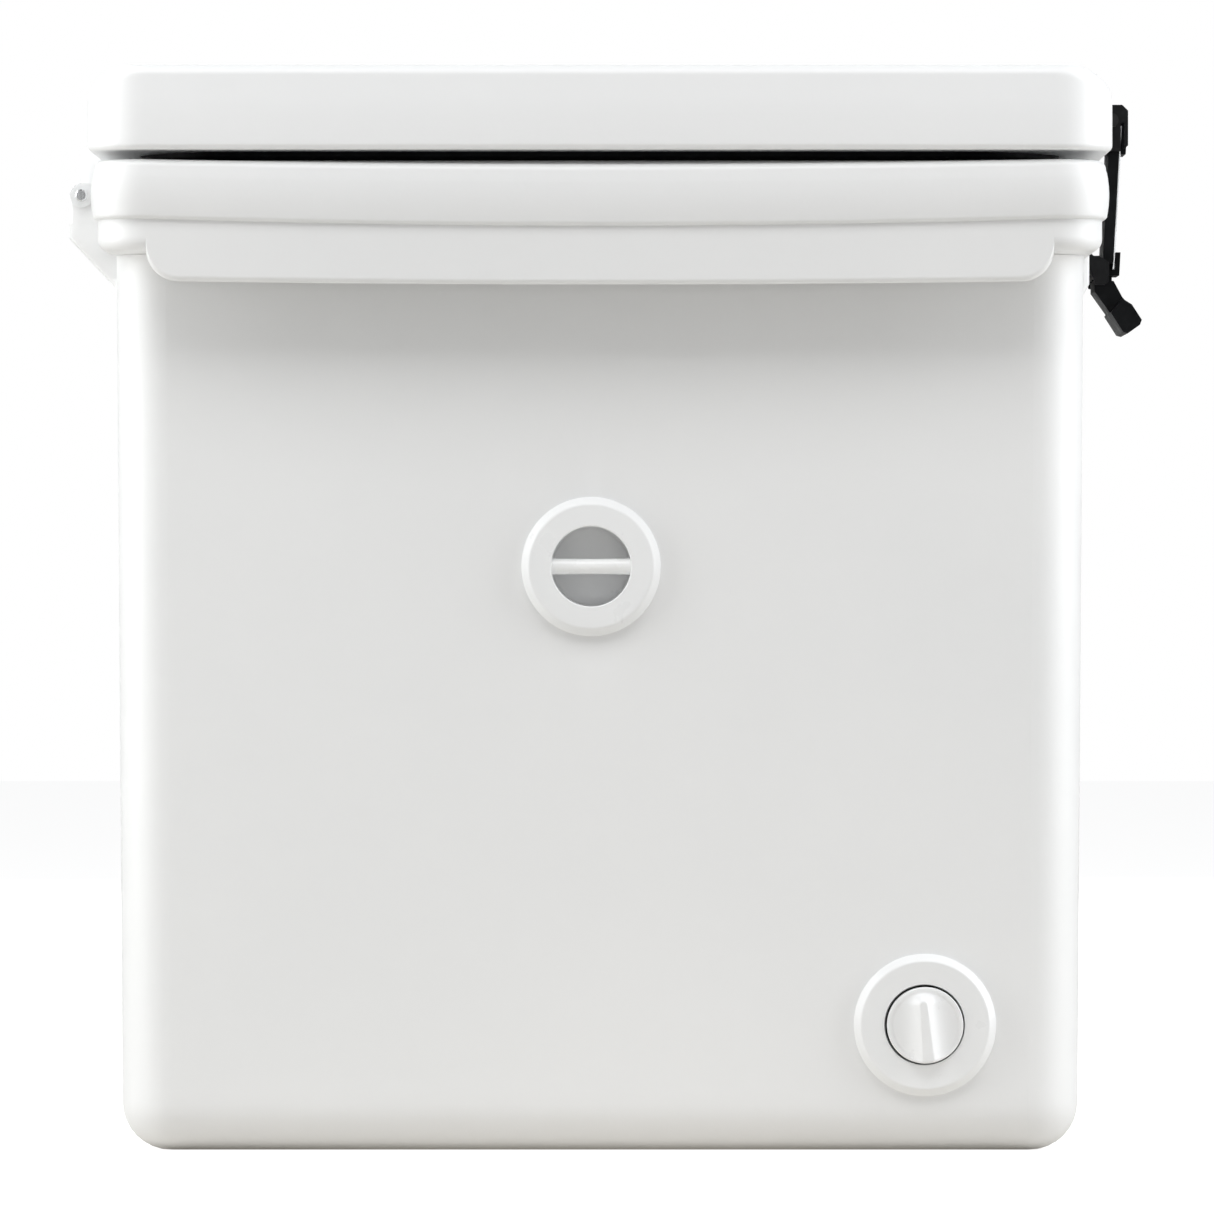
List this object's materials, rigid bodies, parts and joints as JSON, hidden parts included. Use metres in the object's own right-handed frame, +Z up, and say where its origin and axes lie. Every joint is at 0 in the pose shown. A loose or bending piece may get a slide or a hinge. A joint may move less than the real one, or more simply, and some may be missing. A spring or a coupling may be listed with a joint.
{
  "type": "insulated cooler chest",
  "caption": "Double-walled insulated cooler chest with a rear-hinged lid, rubber latches, moulded end grips, tie-down cups and a screw drain plug.",
  "frame": {"origin": "centre of the flat base that the chest rests on", "axes": "+Z up, +X towards the front with the latches, +Y along the length, away from the end with the drain"},
  "size_m": [0.5489, 1, 0.545],
  "materials": {
    "white_shell": "satin",
    "white_fitting": "gloss",
    "foam": "matte",
    "black_rubber": "satin",
    "black_nylon": "satin",
    "black_steel": "satin",
    "stainless": "brushed"
  },
  "bodies": {
    "chest": {"body_shell": "white_shell", "body_foam": "foam", "body_fill_plug": "white_shell", "hinge_rod": "stainless", "hinge_rod_clips": "white_fitting", "drain_housing": "white_fitting", "drain_inner_nut": "white_fitting", "drain_inner_gasket": "black_rubber", "latch_catch_left": "black_nylon", "latch_catch_screws_left": "black_steel", "tie_down_cup_left": "white_fitting", "tie_down_bar_left": "white_fitting", "latch_catch_right": "black_nylon", "latch_catch_screws_right": "black_steel", "tie_down_cup_right": "white_fitting", "tie_down_bar_right": "white_fitting"},
    "lid": {"lid_shell": "white_shell", "lid_foam": "foam", "lid_fill_plug": "white_shell", "lid_gasket": "black_rubber", "latch_bracket_left": "black_nylon", "latch_pin_left": "black_steel", "latch_bracket_screws_left": "black_steel", "latch_bracket_right": "black_nylon", "latch_pin_right": "black_steel", "latch_bracket_screws_right": "black_steel"},
    "latch_left": {"latch_strap_left": "black_rubber", "latch_plate_left": "stainless"},
    "latch_right": {"latch_strap_right": "black_rubber", "latch_plate_right": "stainless"},
    "plug_seal": {"drain_plug_seal": "black_rubber"},
    "plug": {"drain_plug": "white_fitting"}
  },
  "joints": [
    {"name": "lid_hinge", "type": "hinge", "parent": "chest", "child": "lid", "pos_m": [-0.262, 0, 0.4815], "axis": [0, -1, 0], "range_deg": [0, 110]},
    {"name": "latch_left_pivot", "type": "hinge", "parent": "lid", "child": "latch_left", "pos_m": [0.265, -0.29, 0.526], "axis": [0, -1, 0], "range_deg": [0, 120]},
    {"name": "latch_right_pivot", "type": "hinge", "parent": "lid", "child": "latch_right", "pos_m": [0.265, 0.29, 0.526], "axis": [0, -1, 0], "range_deg": [0, 120]},
    {"name": "plug_travel", "type": "slide", "parent": "chest", "child": "plug_seal", "axis": [0, -1, 0], "range_m": [0, 0.016]},
    {"name": "plug_turn", "type": "hinge", "parent": "plug_seal", "child": "plug", "pos_m": [0.163, -0.462, 0.064], "axis": [0, -1, 0], "range_deg": [0, 1440]}
  ],
  "couplings": [
    {"joint": "plug_travel", "follows": "plug_turn", "m_per_rad": 0.0006366}
  ]
}
